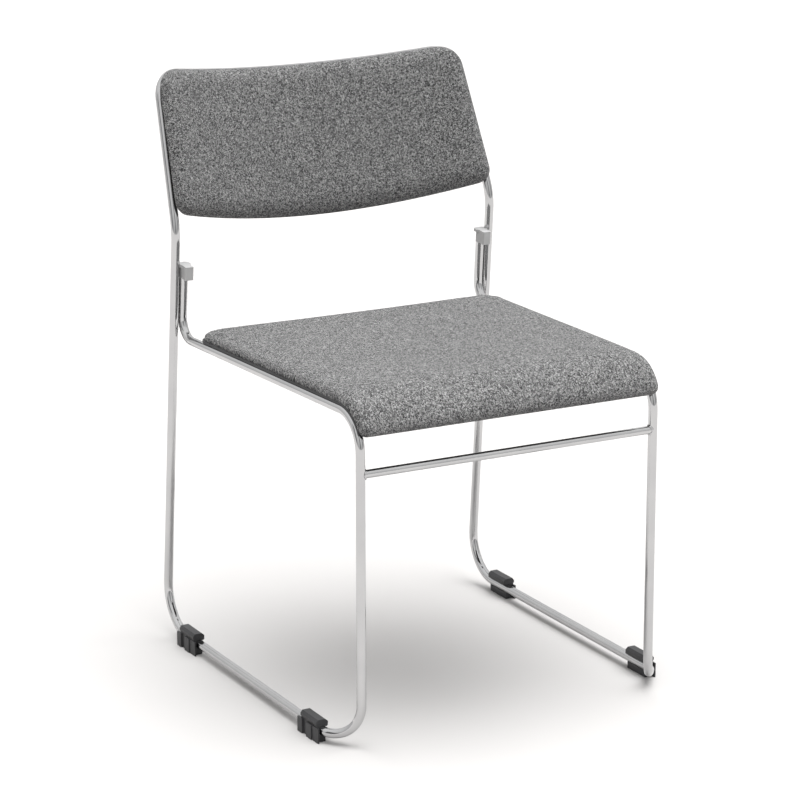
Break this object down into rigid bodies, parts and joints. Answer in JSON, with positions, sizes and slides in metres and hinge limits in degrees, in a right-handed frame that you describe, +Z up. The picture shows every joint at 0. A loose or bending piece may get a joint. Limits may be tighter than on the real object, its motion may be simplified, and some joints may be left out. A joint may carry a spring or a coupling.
{
  "type": "stacking chair",
  "caption": "Armless stacking chair on a bent round-rod sled frame, with an upholstered seat that rolls down at the front and a bowed upholstered backrest.",
  "frame": {"origin": "on the floor, under the centre of the chair's outline", "axes": "+Z up, the sitter faces -Y, +X is the sitter's left"},
  "size_m": [0.496, 0.6074, 0.7628],
  "materials": {
    "chrome_rod": "bright chrome plate",
    "glide_plastic": "black moulded nylon",
    "cap_plastic": "grey moulded plastic",
    "chrome_tab": "chrome plate over the weld",
    "shell_plastic": "black moulded plastic, fine grain",
    "plywood": "bare beech plywood",
    "foam": "open-cell cushion foam",
    "tweed": "grey tweed upholstery",
    "screw_steel": "black-oxide steel",
    "nut_steel": "zinc-plated steel"
  },
  "bodies": {
    "root": {"back_board": "plywood", "back_cover": "tweed", "back_foam": "foam", "back_hoop": "chrome_rod", "back_screws": "screw_steel", "back_shell": "shell_plastic", "back_tab_high_left": "chrome_tab", "back_tab_high_right": "chrome_tab", "back_tab_low_left": "chrome_tab", "back_tab_low_right": "chrome_tab", "back_tee_nuts": "nut_steel", "cap_left": "cap_plastic", "cap_right": "cap_plastic", "front_cross_rail": "chrome_rod", "glide_front_left": "glide_plastic", "glide_front_right": "glide_plastic", "glide_rear_left": "glide_plastic", "glide_rear_right": "glide_plastic", "seat_board": "plywood", "seat_cover": "tweed", "seat_foam": "foam", "seat_pan": "shell_plastic", "seat_screws": "screw_steel", "seat_tab_front_left": "chrome_tab", "seat_tab_front_right": "chrome_tab", "seat_tab_rear_left": "chrome_tab", "seat_tab_rear_right": "chrome_tab", "seat_tee_nuts": "nut_steel", "side_rod_left": "chrome_rod", "side_rod_right": "chrome_rod"}
  },
  "joints": []
}
